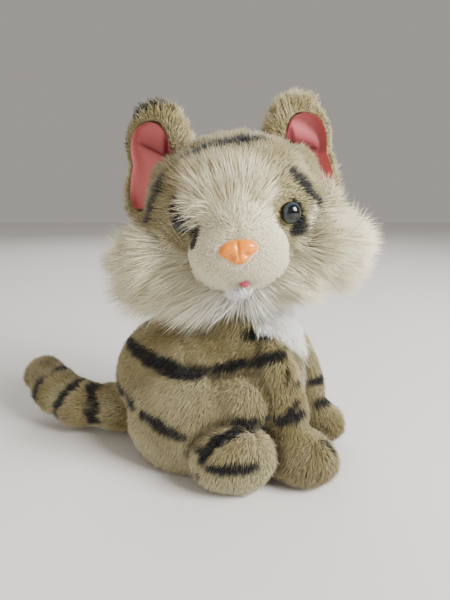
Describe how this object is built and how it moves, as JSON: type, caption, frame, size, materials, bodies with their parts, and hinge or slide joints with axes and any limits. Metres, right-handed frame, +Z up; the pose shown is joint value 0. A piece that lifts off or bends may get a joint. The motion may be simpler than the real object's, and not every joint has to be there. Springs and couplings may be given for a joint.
{
  "type": "plush cat",
  "caption": "Sitting plush kitten with tan striped pile, long cream cheeks, pink-lined ears, glossy nose and eyes, a turning head and a swinging tail.",
  "frame": {"origin": "On the floor at the middle of the flat base under the rump", "axes": "+Z up, the face looks along -Y, the torso faces 22 degrees round from +X towards -Y"},
  "size_m": [0.236, 0.1329, 0.2263],
  "materials": {
    "striped_pile": "short tan plush pile with soft airbrushed black stripes",
    "cream_pile": "cream plush, clipped short on the muzzle and long on the forehead",
    "white_long_pile": "long silky off-white pile",
    "pink_cloth": "fine pink knitted cloth",
    "tongue_felt": "pink felt",
    "sewing_thread": "twisted polyester thread",
    "fibre_stuffing": "loose white polyester fibre",
    "eye_plastic": "polished black dome with a grey iris rim",
    "nose_plastic": "glossy moulded orange plastic",
    "washer_plastic": "plain moulded push-on washer"
  },
  "bodies": {
    "torso": {"base_panel": "striped_pile", "belly_panel": "striped_pile", "chest_bib": "white_long_pile", "front_leg_left_cover": "striped_pile", "front_leg_left_stuffing": "fibre_stuffing", "front_leg_right_cover": "striped_pile", "front_leg_right_stuffing": "fibre_stuffing", "haunch_left_cover": "striped_pile", "haunch_left_stuffing": "fibre_stuffing", "haunch_right_cover": "striped_pile", "haunch_right_stuffing": "fibre_stuffing", "hind_foot_left_cover": "striped_pile", "hind_foot_left_stuffing": "fibre_stuffing", "hind_foot_right_cover": "striped_pile", "hind_foot_right_stuffing": "fibre_stuffing", "torso_left_panel": "striped_pile", "torso_right_panel": "striped_pile", "torso_stuffing": "fibre_stuffing"},
    "neck": {"neck_gather_thread": "sewing_thread"},
    "head": {"cheek_ruff_left": "white_long_pile", "cheek_ruff_right": "white_long_pile", "chin_tuft": "white_long_pile", "eye_left": "eye_plastic", "eye_left_washer": "washer_plastic", "eye_right": "eye_plastic", "eye_right_washer": "washer_plastic", "face_panel": "cream_pile", "head_left_panel": "striped_pile", "head_right_panel": "striped_pile", "head_stuffing": "fibre_stuffing", "muzzle_cover": "cream_pile", "muzzle_stuffing": "fibre_stuffing", "neck_plug": "fibre_stuffing", "nose": "nose_plastic", "nose_washer": "washer_plastic", "tongue": "tongue_felt"},
    "ear_left": {"ear_left_back": "striped_pile", "ear_left_lining": "pink_cloth"},
    "ear_right": {"ear_right_back": "striped_pile", "ear_right_lining": "pink_cloth"},
    "tail": {"tail_base_cover": "striped_pile", "tail_base_stuffing": "fibre_stuffing"},
    "tail_tip": {"tail_tip_cover": "striped_pile", "tail_tip_stuffing": "fibre_stuffing"}
  },
  "joints": [
    {"name": "neck_turn", "type": "hinge", "parent": "torso", "child": "neck", "pos_m": [0.0315, -0.0128, 0.102], "axis": [0, 0, 1], "range_deg": [-20, 20], "stiffness_Nm_per_rad": 0.5},
    {"name": "head_nod", "type": "hinge", "parent": "neck", "child": "head", "pos_m": [0.0315, -0.0128, 0.102], "axis": [1, 0, 0], "range_deg": [-12, 8], "stiffness_Nm_per_rad": 0.9},
    {"name": "ear_left_fold", "type": "hinge", "parent": "head", "child": "ear_left", "pos_m": [0.06425, -0.00465, 0.18917], "axis": [0.8755, 0.4772, 0.0755], "range_deg": [-15, 15], "stiffness_Nm_per_rad": 0.04},
    {"name": "ear_right_fold", "type": "hinge", "parent": "head", "child": "ear_right", "pos_m": [-0.01542, -0.00257, 0.18219], "axis": [0.8493, -0.5224, 0.0755], "range_deg": [-15, 15], "stiffness_Nm_per_rad": 0.04},
    {"name": "tail_swing", "type": "hinge", "parent": "torso", "child": "tail", "pos_m": [-0.0563, 0.003, 0.019], "axis": [0, 0, 1], "range_deg": [-20, 20], "stiffness_Nm_per_rad": 0.08},
    {"name": "tail_tip_curl", "type": "hinge", "parent": "tail", "child": "tail_tip", "pos_m": [-0.086, 0.007, 0.02], "axis": [0, 0, 1], "range_deg": [-15, 15], "stiffness_Nm_per_rad": 0.05}
  ]
}
